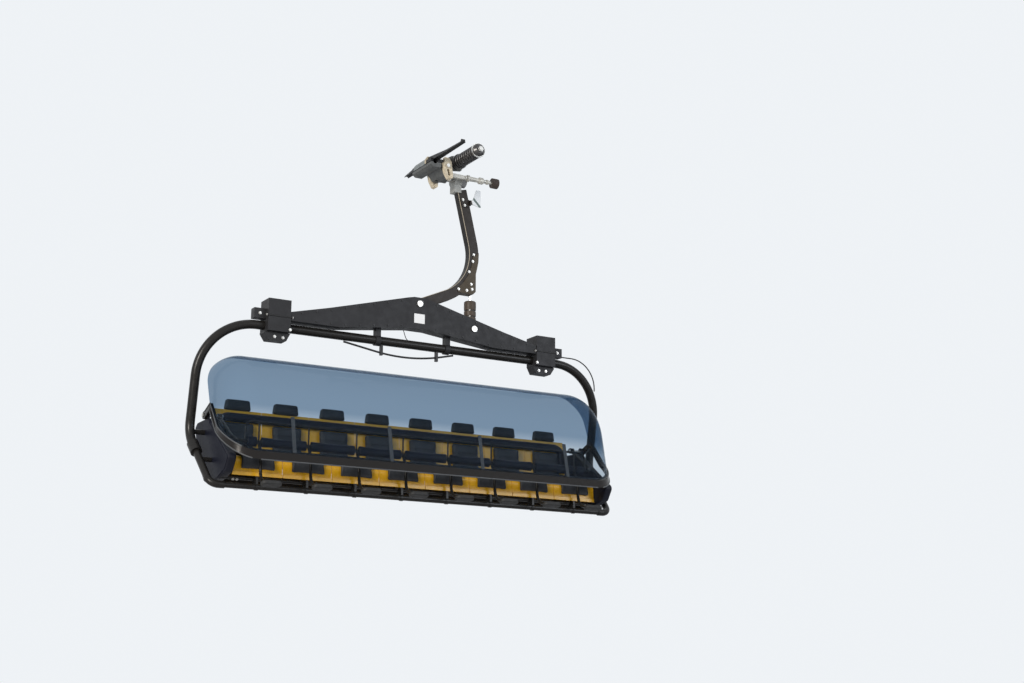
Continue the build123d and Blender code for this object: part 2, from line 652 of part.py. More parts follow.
def seats(side, lower, cross):
    """Shells, cushions, headrests, pads and the frame that carries them."""
    shells = [shell_at(x, SHELL_WIDE, SHELL_T) for x in SEAT_XS]
    save("seat_shells", shells)
    save("back_cushions", [back_pad(x, 310, 132, 478, SHELL_T / 2 + 0.5, 62, 14) for x in SEAT_XS])
    save("seat_cushions", [seat_cushion(x) for x in SEAT_XS])
    save("top_bolster", bolster())

    headrests = []
    for x in SEAT_XS:
        outline = [(x + half * side_of, z) for side_of, half, z in HEADREST_CORNERS]
        head = slab_y(outline, *HEADREST_Y)
        headrests.append(chamfer(head.edges(), 11))
    save("headrests", headrests)

    points = [(CHEEK_X[0], y, z) for y, z in CHEEK_OUTLINE]
    cheek_face = make_face(FilletPolyline(*points, radius=24, close=True))
    cheek = extrude(cheek_face, amount=CHEEK_X[1] - CHEEK_X[0], dir=(1, 0, 0))
    cheek = fillet(cheek.faces().sort_by(Axis.X)[-1].edges(), 5)
    cheek -= rod_x(CHEEK_X[0] - 1, CHEEK_X[1] + 1, PIVOT_Y, PIVOT_Z, PIN_R + 0.1)
    save("cheek_plates", both_sides(cheek))
    low = on_lower_leg(LOWER_BOSS_AT)
    upper_boss = rod_x(CHEEK_X[1], HOOP_X, *UPPER_BOSS, 24) - side
    lower_boss = rod_x(CHEEK_X[1], low[0], low[1], low[2], 22) - lower
    bosses = []
    for boss in (upper_boss, lower_boss):
        bosses.extend(both_sides(min(boss.solids(), key=lambda s: s.center().X)))
    save("cheek_bosses", bosses)

    pin_end = BUBBLE_X + 22
    pin = rod_x(BAR_X - 24, pin_end, PIVOT_Y, PIVOT_Z, PIN_R)
    pin += rod_x(BAR_X - 30, BAR_X - 18, PIVOT_Y, PIVOT_Z, 20)
    pin += rod_x(pin_end - 9, pin_end, PIVOT_Y, PIVOT_Z, 20)
    save("pivot_pins", both_sides(pin))

    pad_face = make_face(FilletPolyline(*[(PAD_X[0], y, z) for y, z in PAD_OUTLINE], radius=45, close=True))
    pad = extrude(pad_face, amount=PAD_X[1] - PAD_X[0], dir=(1, 0, 0))
    inner, outer = PAD_X[0] - 5, PAD_X[1] + 5
    pad -= box(inner, outer, BEAM_Y[0] - 1, BEAM_Y[1] + 1, BEAM_Z[0] - 1, BEAM_Z[1] + 1)
    pad -= rod_x(inner, outer, RAIL_Y, RAIL_Z, RAIL_R + 1)
    pad -= rod_x(inner, FRONT_RAIL_END + 1, *FRONT_RAIL, FRONT_RAIL_R + 1)
    save("side_pads", both_sides(pad))

    beam = box(-CHEEK_X[0], CHEEK_X[0], *BEAM_Y, *BEAM_Z)
    save("seat_beam", beam)
    rail = rod_x(-CHEEK_X[0], CHEEK_X[0], RAIL_Y, RAIL_Z, RAIL_R)
    save("back_rail", rail)
    front = rod_x(-FRONT_RAIL_END, FRONT_RAIL_END, *FRONT_RAIL, FRONT_RAIL_R)
    save("front_rail", front)

    struts, brackets = [], []
    for x, shell in zip(SEAT_XS, shells):
        post = box(x - 11, x + 11, -222, -140, -3470, -3380.3) - front - cross
        post = max(post.solids(), key=lambda s: s.volume)
        struts.append(post)
        foot = box(x - 40, x + 40, BEAM_Y[0] + 5, BEAM_Y[1] - 5, BEAM_Z[1], -3200) - shell
        foot = min(foot.solids(), key=lambda s: s.center().Z)
        hold = box(x - 40, x + 40, 340, 400, RAIL_Z - 14, RAIL_Z + 14) - shell - rail
        hold = [s for s in hold.solids() if 355 < s.center().Y < RAIL_Y]
        brackets.append(foot)
        brackets.extend(sorted(hold, key=lambda s: s.volume)[-1:])
    save("seat_posts", struts)
    save("shell_brackets", brackets)


# The bubble: one curved sheet with rounded ends, its rim and its hubs
def bubble_form(grow):
    """The closed form of the bubble, grown outwards by a distance."""
    half = BUBBLE_X + grow
    r = BUBBLE_R + grow
    rel_y, rel_z = RIM_Y - PIVOT_Y, RIM_Z - PIVOT_Z
    touch = atan2(rel_z, rel_y) + radians(360) - acos(BUBBLE_R / hypot(rel_y, rel_z))
    rear = radians(75)

    def at(angle, ahead=0.0):
        """A point on the arc, or `ahead` of it along the tangent."""
        y = PIVOT_Y + r * cos(angle) - ahead * sin(angle)
        z = PIVOT_Z + r * sin(angle) + ahead * cos(angle)
        return (-half, y, z)

    start, end = at(rear, -700), at(touch, 1000)
    edges = [
        Line(start, at(rear)),
        ThreePointArc(at(rear), at((rear + touch) / 2), at(touch)),
        Line(at(touch), end),
        Line(end, (-half, start[1], end[2])),
        Line((-half, start[1], end[2]), start),
    ]
    body = extrude(make_face(Wire(edges)), amount=2 * half, dir=(1, 0, 0))
    ends = []
    for edge in body.edges():
        flat = abs(edge.start_point().X - edge.end_point().X) < 0.1
        middle = edge.position_at(0.5)
        closing = middle.Y > start[1] - 1 or middle.Z < end[2] + 1
        if flat and not closing:
            ends.append(edge)
    return fillet(ends, BUBBLE_END_R + grow)


# Lower edge of the bubble from its pin to its front, and the line of its rear edge
BUBBLE_LOW = [(PIVOT_Y + 16, PIVOT_Z - 42), (48, -2752), (-150, -2985), (RIM_Y - 40, RIM_Z - 28)]
BUBBLE_REAR = [(250, -1900), (250, -2250), (70, -2690)]
RIM_HIGH = 52.0
HUB_R = 38.0


def beside(points, distance):
    """The line that runs beside a bent line in Y and Z, on its upper front side."""
    normals = []
    for (y0, z0), (y1, z1) in zip(points, points[1:]):
        length = hypot(y1 - y0, z1 - z0)
        normals.append(((z1 - z0) / length, -(y1 - y0) / length))
    moved = []
    for i, (y, z) in enumerate(points):
        a = normals[max(i - 1, 0)]
        b = normals[min(i, len(normals) - 1)]
        share = distance / (1 + a[0] * b[0] + a[1] * b[1])
        moved.append((y + (a[0] + b[0]) * share, z + (a[1] + b[1]) * share))
    return moved


def bubble():
    """Sheet, rim, straps and hubs."""
    wide = BUBBLE_X + 100
    rim_top = beside(BUBBLE_LOW, RIM_HIGH)
    keep = slab_x([*BUBBLE_REAR, *rim_top[1:], (-900, rim_top[-1][1]), (-900, -1900)], -wide, wide)
    sheet = (bubble_form(0) - bubble_form(-BUBBLE_T)) & keep
    belt = slab_x([*BUBBLE_LOW, *reversed(rim_top)], -wide, wide)
    hub_holes = both_sides(rod_x(BUBBLE_X - 100, wide, PIVOT_Y, PIVOT_Z, HUB_R))
    rim = ((bubble_form(10) - bubble_form(-20)) & belt) - hub_holes[0] - hub_holes[1]
    save("bubble_sheet", max(sheet.solids(), key=lambda s: s.volume))
    save("bubble_rim", max(rim.solids(), key=lambda s: s.volume))

    hub = rod_x(BUBBLE_X - 20, BUBBLE_X + 10, PIVOT_Y, PIVOT_Z, HUB_R)
    hub -= rod_x(BUBBLE_X - 30, BUBBLE_X + 20, PIVOT_Y, PIVOT_Z, PIN_R + CLEAR)
    save("bubble_hubs", both_sides(hub))

    straps = []
    outer = bubble_form(-BUBBLE_T)
    inner = bubble_form(-BUBBLE_T - 8)
    for x in (-3 * SEAT_PITCH, -SEAT_PITCH, SEAT_PITCH, 3 * SEAT_PITCH):
        zone = box(x - 18, x + 18, -700, -200, -3190, -2830)
        straps.append(((outer - inner) & zone) - belt)
    save("bubble_straps", straps)


# Footrests: middle in Y and Z, half width and thickness
REST = (-575.0, -3490.0)
REST_HALF = 98.0
REST_THICK = 36.0


def restraint():
    """Lap bar with its arms, padding, guard, struts and footrests."""
    points = [
        (BAR_X, PIVOT_Y, PIVOT_Z),
        (BAR_X, BAR_Y, BAR_Z),
        (-BAR_X, BAR_Y, BAR_Z),
        (-BAR_X, PIVOT_Y, PIVOT_Z),
    ]
    bar = bent_tube(points, [110, 110], 16)
    for boss in both_sides(rod_x(BAR_X - 14, BAR_X + 26, PIVOT_Y, PIVOT_Z, 30)):
        bar += boss
    for hole in both_sides(rod_x(BAR_X - 20, BAR_X + 30, PIVOT_Y, PIVOT_Z, PIN_R + CLEAR)):
        bar -= hole
    save("lap_bar", bar)

    pads = []
    pad_end = ROW_END - 140
    stops = [-pad_end, *SEAT_XS, pad_end]
    for i in range(len(stops) - 1):
        x0 = stops[i] + (0 if i == 0 else 24)
        x1 = stops[i + 1] - (0 if i == len(stops) - 2 else 24)
        plane = Plane(origin=(x0, BAR_Y, BAR_Z), x_dir=(0, 1, 0), z_dir=(1, 0, 0))
        pads.append(extrude(plane * (Ellipse(31, 46) - Circle(16 + CLEAR)), amount=x1 - x0))
    save("lap_bar_padding", pads)

    guard_x, guard_z = ROW_END - 115, -2872.0
    points = [
        (guard_x, BAR_Y, BAR_Z),
        (guard_x, BAR_Y, guard_z),
        (-guard_x, BAR_Y, guard_z),
        (-guard_x, BAR_Y, BAR_Z),
    ]
    top = bent_tube(points, [70, 70], 11)
    for x in SEAT_XS:
        top += rod_z(BAR_Z, guard_z, x, BAR_Y, 8)
    save("guard_rail", top - bar)

    pod = extrude(RectangleRounded(2 * REST_HALF, 96, 44), REST_THICK / 2, both=True)
    pod = fillet(pod.faces().sort_by(Axis.Z)[0].edges() + pod.faces().sort_by(Axis.Z)[-1].edges(), 12)
    struts, rests = [], []
    for x in SEAT_XS:
        rest = Pos(x, *REST) * Rot(-14, 0, 0) * pod
        leg = bent_tube(
            [(x, BAR_Y, BAR_Z), (x, -288, -3170), (x, -304, -3440), (x, REST[0], REST[1])], [60, 130], 15)
        leg = leg - bar - rest
        struts.append(max(leg.solids(), key=lambda s: s.volume))
        rests.append(rest)
    save("bar_struts", struts)
    save("footrests", rests)


if __name__ == "__main__":
    fixed_jaw()
    grip()
    moving_jaw()
    hanger()
    yoke()
    clamps()
    tubes = hoop()
    cables(tubes[0])
    seats(*tubes)
    bubble()
    restraint()
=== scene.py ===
"""Eight-seat bubble chair: finishes, padded parts, small fittings, light and camera."""

import json
import math

import bmesh
import bpy
from mathutils import Matrix, Vector


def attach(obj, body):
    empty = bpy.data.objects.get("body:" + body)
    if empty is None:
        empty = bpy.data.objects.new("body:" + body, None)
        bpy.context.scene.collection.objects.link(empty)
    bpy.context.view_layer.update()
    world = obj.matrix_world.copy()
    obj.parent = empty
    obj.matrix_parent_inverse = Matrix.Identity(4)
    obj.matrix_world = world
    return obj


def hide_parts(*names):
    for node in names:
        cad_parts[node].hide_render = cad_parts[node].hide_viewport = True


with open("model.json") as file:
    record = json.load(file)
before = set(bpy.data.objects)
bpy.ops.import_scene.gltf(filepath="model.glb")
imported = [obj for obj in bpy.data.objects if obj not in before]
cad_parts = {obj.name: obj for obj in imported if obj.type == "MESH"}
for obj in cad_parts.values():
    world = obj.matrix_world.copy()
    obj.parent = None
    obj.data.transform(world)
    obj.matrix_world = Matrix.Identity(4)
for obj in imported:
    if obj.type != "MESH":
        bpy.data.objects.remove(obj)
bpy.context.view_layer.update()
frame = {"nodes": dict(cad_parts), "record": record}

# Places and sizes are in metres, and a place on the frame repeats the frame's own
FRONT, REAR = (0, -1, 0), (0, 1, 0)
ACROSS, UP = (1, 0, 0), (0, 0, 1)
ENDS = (-1, 1)

# Hanger: its two faces, the plates on them, and their bolts as X and Z
HANGER_FRONT_Y = -0.006
HANGER_REAR_Y = 0.086
FOOT_PLATE_THICK = 0.008
FIN_BRACKET_THICK = 0.012
FOOT_BOLTS = (
    (0.639, -0.829), (0.629, -0.903), (0.586, -1.023), (0.462, -1.226),
    (0.560, -1.228), (0.622, -1.208), (0.612, -1.155),
)
BRACKET_BOLTS = ((0.500, -0.242), (0.522, -0.302))

# Bellows of the damper: its axis as X and Y, and the heights of its grooves
BELLOWS_AXIS = (0.630, 0.040)
BELLOWS_GROOVES = (-1.434, -1.500)
BELLOWS_BAND_R = 0.059
BELLOWS_BAND_HIGH = 0.012
BAND_SCREW_WAY = (-0.5, -0.866, 0.0)

# Yoke: its two faces, the edges of a plate as X and Z, and the rivets along them
YOKE_FRONT_Y = -0.035
YOKE_REAR_Y = 0.115
YOKE_UPPER_EDGE = ((0.130, -1.403), (1.000, -1.630), (1.404, -1.725))
YOKE_LOWER_EDGE = ((0.100, -1.717), (0.880, -1.812), (1.404, -1.812))
RIVETS = 8
RIVET_START_X = 0.20
RIVET_PITCH = 0.155
RIVET_UPPER_INSET = 0.026
RIVET_LOWER_INSET = 0.024
RIVET_LOWER_END_X = 1.25

# Hoop clamps: the middle of the right-hand one, its faces and its tie rods
CLAMP_X = 1.520
CLAMP_FRONT_Y = -0.045
CLAMP_REAR_Y = 0.165
SADDLE_FRONT_Y = 0.005
WING_FRONT_Y = 0.015
CLAMP_JOINT_Z = -1.784
CLAMP_ROD_R = 0.008
CLAMP_ROD_LONG = 0.260
CLAMP_ROD_SUNK = 0.001

# Its bolts, in X from its middle: the ones in front with their face and height, and the pairs behind
CLAMP_FRONT_BOLTS = (
    (-0.112, CLAMP_FRONT_Y, -1.908),
    (-0.060, SADDLE_FRONT_Y, -1.984),
    (0.026, SADDLE_FRONT_Y, -1.982),
    (0.180, WING_FRONT_Y, -1.762),
)
CLAMP_REAR_BOLT_XS = (-0.085, 0.085)
CLAMP_REAR_BOLT_ZS = (-1.640, -1.758, -1.905)

# Frame under the seats: its tubes as Y and Z, with the bolts and collars on them
SEAT_XS = [0.5 * (i - 3.5) for i in range(8)]
FRONT_RAIL = (-0.165, -3.402)
FRONT_RAIL_R = 0.017
RAIL_BOLT_XS = (-1.968, -1.930, 1.912, 1.950)
RAIL_BOLT_WAY = (0, -0.6, -0.8)
CROSS_TUBE = (-0.200, -3.478)
CROSS_TUBE_R = 0.027
COLLAR_WALL = 0.006
COLLAR_LONG = 0.030

# Grip's coil spring: its axis as X and Z, its ends in Y, its outside and its wire
SPRING_AXIS = (0.350, 0.095)
SPRING_ENDS = (-0.600, -0.160)
SPRING_R = 0.072
SPRING_WIRE_R = 0.011
SPRING_TURNS = 9.5

# Bubble's rim: the point that it goes round, where it ends behind, and how its outer edges are told
RIM_MIDDLE = (0, 0.2, -2.78)
RIM_REAR_Y = 0.14
SHARP = math.radians(50)
LEAST_OUTWARD = 0.5
MOST_INWARD = -0.75
BEAD_R = 0.006

# Padding: how far the filling pushes a cover out past the plain solid, and how the cover is blown up
FILLING = 0.002
CLOTH_STEPS = 20
CLOTH = {
    "quality": 5,
    "mass": 0.3,
    "tension_stiffness": 25,
    "compression_stiffness": 25,
    "shear_stiffness": 12,
    "bending_stiffness": 2,
    "use_pressure": True,
    "uniform_pressure_force": 4.0,
}

# Points this near are one point, and solids this near in size share a cover
MERGE = 1e-5
SAME_SIZE = 0.002

# Further out than this the chair's two ends are mirror images, to within the second length
MIRRORED_X = 1.9
SAME_PLACE = 1e-3

# Seams: the half width and depth of a groove, and where the seams run on a cushion
BACK_CROSS_SEAM = (0.007, 0.007)
BACK_CROSS_SHARES = (0.36, 0.70)
BACK_BORDER_X = 0.122
SEAT_CROSS_SEAM = (0.008, 0.007)
SEAT_CROSS_YS = (0.12, -0.04)
SEAT_FRONT_SEAM = (0.007, 0.005)
SEAT_FRONT_Y = -0.185
SEAT_BORDER_X = 0.130
BORDER_SEAM = (0.006, 0.004)

# Studio: the floor, and the lamps with their place, size, power in watts and colour
FLOOR_Z = -5.36
FLOOR_HALF = 250.0
LAMPS = (
    ("key", (-13.0, -8.0, 1.0), 5.0, 1700, (1.0, 0.94, 0.86)),
    ("fill", (12.0, -19.0, 1.5), 9.0, 1150, (0.88, 0.93, 1.0)),
    ("back", (6.0, 10.0, 5.0), 5.0, 380, (1.0, 1.0, 1.0)),
)
LAMPS_AIM = (0.0, 0.0, -2.3)

# Camera: its place, its turn in degrees, and the photograph's focal length and width in pixels
CAMERA_AT = (-6.759, -13.249, -5.273)
CAMERA_YAW, CAMERA_PITCH, CAMERA_ROLL = 30.746, 13.025, 0.214
FOCAL_PIXELS, WIDTH_PIXELS = 1493.1, 1024
SENSOR_MM = 36.0
FURTHEST_SEEN = 1000.0


# Node helpers
def put(tree, socket, value):
    """A value for a socket; an output as a value is linked."""
    if isinstance(value, bpy.types.NodeSocket):
        tree.links.new(value, socket)
    else:
        socket.default_value = value


def feed(tree, made, **inputs):
    """Values for the named inputs of a node."""
    for key, value in inputs.items():
        put(tree, made.inputs[key.replace("_", " ")], value)
    return made


def node(tree, kind, settings=None, **inputs):
    """A node with its settings and the values of its inputs."""
    made = tree.nodes.new(kind)
    for key, value in (settings or {}).items():
        setattr(made, key, value)
    return feed(tree, made, **inputs)


def maths(tree, operation, a, b):
    """The result of an operation on two levels."""
    made = node(tree, "ShaderNodeMath", {"operation": operation})
    put(tree, made.inputs[0], a)
    put(tree, made.inputs[1], b)
    return made.outputs[0]


def begin(name):
    """A new material with one shader on its output."""
    material = bpy.data.materials.new(name)
    material.use_nodes = True
    tree = material.node_tree
    tree.nodes.clear()
    output = tree.nodes.new("ShaderNodeOutputMaterial")
    shader = tree.nodes.new("ShaderNodeBsdfPrincipled")
    tree.links.new(shader.outputs["BSDF"], output.inputs["Surface"])
    return material, tree, shader


def painted(material):
    """The tree, the shader and the base colour of a finish that gets more paint."""
    tree = material.node_tree
    shader = next(n for n in tree.nodes if n.type == "BSDF_PRINCIPLED")
    return tree, shader, shader.inputs["Base Color"].links[0].from_socket


# Patterns
def object_space(tree):
    """The coordinates that every pattern is laid in."""
    return tree.nodes.new("ShaderNodeTexCoord").outputs["Object"]


def surface_way(tree):
    """The direction that the surface faces."""
    return tree.nodes.new("ShaderNodeNewGeometry").outputs["Normal"]


def along(tree, vector, direction):
    """How far a vector goes in a direction."""
    made = node(tree, "ShaderNodeVectorMath", {"operation": "DOT_PRODUCT"})
    put(tree, made.inputs[0], vector)
    put(tree, made.inputs[1], direction)
    return made.outputs["Value"]


def cloudy(tree, scale, detail=3.0, rough=0.55, stretch=None):
    """A noise pattern between 0 and 1."""
    where = object_space(tree)
    if stretch:
        where = node(tree, "ShaderNodeMapping", Vector=where, Scale=stretch).outputs["Vector"]
    made = node(
        tree, "ShaderNodeTexNoise",
        Vector=where, Scale=scale, Detail=detail, Roughness=rough)
    return made.outputs["Fac"]


def cells(tree, scale, feature="F1", output="Distance"):
    """A pattern of cells."""
    made = node(
        tree, "ShaderNodeTexVoronoi", {"feature": feature},
        Vector=object_space(tree), Scale=scale)
    return made.outputs[output]


def ramp(tree, factor, *stops):
    """Colours or levels by a factor; a stop is a place and a grey or a colour."""
    made = node(tree, "ShaderNodeValToRGB", Fac=factor)
    points = made.color_ramp.elements
    while len(points) < len(stops):
        points.new(0.5)
    for point, (place, value) in zip(points, stops):
        point.position = place
        point.color = (value, value, value, 1) if isinstance(value, (int, float)) else (*value, 1)
    return made.outputs["Color"]


def mixed(tree, factor, a, b):
    """Colour a turning to colour b by a factor."""
    made = node(tree, "ShaderNodeMix", {"data_type": "RGBA"})
    put(tree, made.inputs[0], factor)
    # The two colours come after the sockets for numbers and vectors
    for socket, colour in ((made.inputs[6], a), (made.inputs[7], b)):
        put(tree, socket, (*colour, 1) if isinstance(colour, tuple) else colour)
    return made.outputs[2]


def blended(tree, factor, a, b):
    """Shader a turning to shader b by a factor."""
    made = tree.nodes.new("ShaderNodeMixShader")
    for socket, value in zip(made.inputs, (factor, a, b)):
        tree.links.new(value, socket)
    return made.outputs[0]


def bump(tree, height, distance, strength, under=None):
    """A normal from a height pattern, over another one if it is given."""
    made = node(tree, "ShaderNodeBump", Height=height, Distance=distance, Strength=strength)
    if under is not None:
        tree.links.new(under, made.inputs["Normal"])
    return made.outputs["Normal"]


def shade(colour, factor):
    """The colour made lighter or darker."""
    return tuple(min(1.0, c * factor) for c in colour)


# Finishes
def powder_coat(name, colour, rough, gloss=0.22):
    """Satin powder coat: fine orange peel, faint clouds and dust on what faces up."""
    material, tree, shader = begin(name)
    tone = mixed(tree, cloudy(tree, 4.0), shade(colour, 0.8), shade(colour, 1.25))
    facing = node(tree, "ShaderNodeSeparateXYZ", Vector=surface_way(tree))
    upward = ramp(tree, facing.outputs["Z"], (0.55, 0.0), (1.0, 0.10))
    patches = ramp(tree, cloudy(tree, 9.0, detail=6.0), (0.35, 0.2), (0.7, 1.0))
    dust = (0.24, 0.23, 0.21)
    tone = mixed(tree, maths(tree, "MULTIPLY", upward, patches), tone, dust)
    smears = cloudy(tree, 16.0, detail=5.0)
    peel = cloudy(tree, 420.0, detail=2.0)
    feed(
        tree, shader,
        Base_Color=tone,
        Roughness=ramp(tree, smears, (0.3, rough - 0.07), (0.75, rough + 0.12)),
        Specular_IOR_Level=gloss,
        Normal=bump(tree, peel, 0.0005, 0.25))
    return material


def galvanised(name, colour, metallic, rough):
    """Zinc: spangles of many greys, with darker stains."""
    material, tree, shader = begin(name)
    spangle = cells(tree, 70.0, output="Color")
    grey = node(tree, "ShaderNodeSeparateColor", Color=spangle).outputs[0]
    tone = mixed(tree, grey, shade(colour, 0.8), shade(colour, 1.15))
    stain = ramp(tree, cloudy(tree, 14.0, detail=8.0, rough=0.65), (0.45, 0.0), (0.8, 0.55))
    dents = cloudy(tree, 160.0, detail=4.0)
    feed(
        tree, shader,
        Base_Color=mixed(tree, stain, tone, shade(colour, 0.35)),
        Roughness=ramp(tree, grey, (0.0, rough - 0.1), (1.0, rough + 0.14)),
        Metallic=metallic,
        Normal=bump(tree, dents, 0.0008, 0.3))
    return material


def bright_metal(name, colour, rough):
    """Turned or polished metal with fine lines."""
    material, tree, shader = begin(name)
    lines = cloudy(tree, 60.0, detail=4.0, stretch=(1.0, 1.0, 14.0))
    feed(
        tree, shader,
        Base_Color=mixed(tree, lines, shade(colour, 0.8), shade(colour, 1.1)),
        Roughness=ramp(tree, lines, (0.3, rough), (0.8, rough + 0.16)),
        Metallic=0.95,
        Normal=bump(tree, lines, 0.0002, 0.15))
    return material


def rubber(name, colour, rough=0.62):
    """Moulded rubber with a faint bloom."""
    material, tree, shader = begin(name)
    bloom = ramp(tree, cloudy(tree, 22.0, detail=6.0), (0.4, 0.0), (0.85, 0.35))
    grain = cloudy(tree, 700.0, detail=2.0)
    feed(
        tree, shader,
        Base_Color=mixed(tree, bloom, colour, shade(colour, 2.2)),
        Roughness=ramp(tree, cloudy(tree, 40.0), (0.3, rough - 0.1), (0.8, rough + 0.1)),
        Specular_IOR_Level=0.3,
        Normal=bump(tree, grain, 0.0004, 0.3))
    return material


def moulded(name, colour, rough, gloss=0.45):
    """Moulded plastic: slight clouds, fine scratches."""
    material, tree, shader = begin(name)
    clouds = cloudy(tree, 5.0, detail=4.0)
    scratches = cloudy(tree, 30.0, detail=8.0, rough=0.7, stretch=(1.0, 6.0, 1.0))
    ripple = cloudy(tree, 260.0, detail=2.0)
    feed(
        tree, shader,
        Base_Color=mixed(tree, clouds, shade(colour, 0.86), shade(colour, 1.1)),
        Roughness=ramp(tree, scratches, (0.35, rough - 0.06), (0.75, rough + 0.14)),
        Specular_IOR_Level=gloss,
        Normal=bump(tree, ripple, 0.0003, 0.12))
    return material


def upholstery(name, colour, rough=0.5, gloss=0.3):
    """Outdoor cover with a pebbled grain, soft creases and a worn sheen on its crown."""
    material, tree, shader = begin(name)
    worn = ramp(tree, cloudy(tree, 7.0, detail=5.0), (0.35, 0.0), (0.8, 1.0))
    creases = bump(tree, cloudy(tree, 26.0, detail=4.0, rough=0.6), 0.004, 0.3)
    grain = cells(tree, 420.0, "SMOOTH_F1")
    feed(
        tree, shader,
        Base_Color=mixed(tree, worn, shade(colour, 0.75), shade(colour, 1.45)),
        Roughness=ramp(tree, worn, (0.0, rough + 0.1), (1.0, rough - 0.08)),
        Specular_IOR_Level=gloss,
        Sheen_Weight=0.03,
        Sheen_Roughness=0.4,
        Normal=bump(tree, grain, 0.0006, 0.4, under=creases))
    return material


def smoked_sheet(name, colour, tint):
    """Tinted acrylic, clearer towards its lower edge, that turns dense where it is seen edge on."""
    material, tree, shader = begin(name)
    # Painted reflections: faint horizontal streaks in the sheet's colour
    painted_reflection_streaks = cloudy(tree, 2.2, detail=4.0, stretch=(0.4, 1.0, 3.0))
    feed(
        tree, shader,
        Base_Color=mixed(tree, painted_reflection_streaks, shade(colour, 0.8), shade(colour, 1.2)),
        Roughness=0.05)
    # A ramp reads 0 to 1, so the depth under the rope is divided by 4.
    # The stops are 2.74 m and 2.90 m down.
    depth = along(tree, object_space(tree), (0, 0, -0.25))
    graded = ramp(tree, depth, (0.685, tint), (0.725, tuple(c ** 0.4 for c in tint)))
    clear = node(tree, "ShaderNodeBsdfTransparent", Color=graded)
    for_lamps = node(tree, "ShaderNodeBsdfTransparent", Color=(0.95, 0.95, 0.95, 1))
    edge_on = node(tree, "ShaderNodeLayerWeight", Blend=0.3).outputs["Facing"]
    density = ramp(tree, edge_on, (0.0, 0.06), (0.6, 0.18), (1.0, 0.9))
    shadow = tree.nodes.new("ShaderNodeLightPath").outputs["Is Shadow Ray"]
    sheet = blended(tree, density, clear.outputs[0], shader.outputs[0])
    sheet = blended(tree, shadow, sheet, for_lamps.outputs[0])
    tree.links.new(sheet, tree.nodes["Material Output"].inputs["Surface"])
    return material


def hanger_paint_with_painted_light(name, colour, highlight_colour):
    """Powder coat with painted shade that makes the inner face nearly black, and a painted highlight
    along one edge of the front.
    """
    material = powder_coat(name, colour, 0.42)
    tree, shader, paint = painted(material)
    way = surface_way(tree)
    # Painted highlight: the rounded edge where the front turns towards the upper inner side is made
    # lighter
    highlight_facing = ramp(tree, along(tree, way, FRONT), (0.30, 0.0), (0.45, 1.0), (0.90, 1.0), (0.97, 0.0))
    inner = ramp(tree, along(tree, way, (-0.6, 0, 0.8)), (0.05, 0.0), (0.22, 1.0))
    # Painted shade: faces turned inward, towards minus X, are made nearly black
    shaded = ramp(tree, along(tree, way, (-1, 0, 0)), (0.6, 0.0), (0.8, 0.75))
    paint = mixed(tree, shaded, paint, shade(colour, 0.2))
    painted_highlight = maths(tree, "MULTIPLY", highlight_facing, inner)
    feed(tree, shader, Base_Color=mixed(tree, painted_highlight, paint, highlight_colour))
    return material


def banded_fin(name, colour, band):
    """White moulding with one dark band across it."""
    material = moulded(name, colour, 0.4)
    tree, shader, white = painted(material)
    across = along(tree, object_space(tree), (0.7071, 0, 0.7071))
    stripe = ramp(tree, across, (0.253, 0.0), (0.255, 1.0), (0.279, 1.0), (0.281, 0.0))
    feed(tree, shader, Base_Color=mixed(tree, stripe, white, band))
    return material


def jaw_paint(name, block, ramps):
    """A light casting between darker ramps that lie along the rope."""
    material = galvanised(name, block, 0.45, 0.5)
    tree, shader, casting = painted(material)
    # Half a metre is added, because a ramp reads 0 to 1 and the grip's middle is at 0
    run = maths(tree, "ADD", along(tree, object_space(tree), REAR), 0.5)
    dark = ramp(tree, run, (0.284, 1.0), (0.292, 0.0), (0.558, 0.0), (0.566, 1.0))
    feed(tree, shader, Base_Color=mixed(tree, dark, casting, ramps))
    return material


def enamel(name, colour):
    """Blank enamelled plate."""
    material, tree, shader = begin(name)
    clouds = cloudy(tree, 30.0, detail=5.0)
    feed(
        tree, shader,
        Base_Color=mixed(tree, clouds, shade(colour, 0.9), colour),
        Roughness=0.3)
    return material


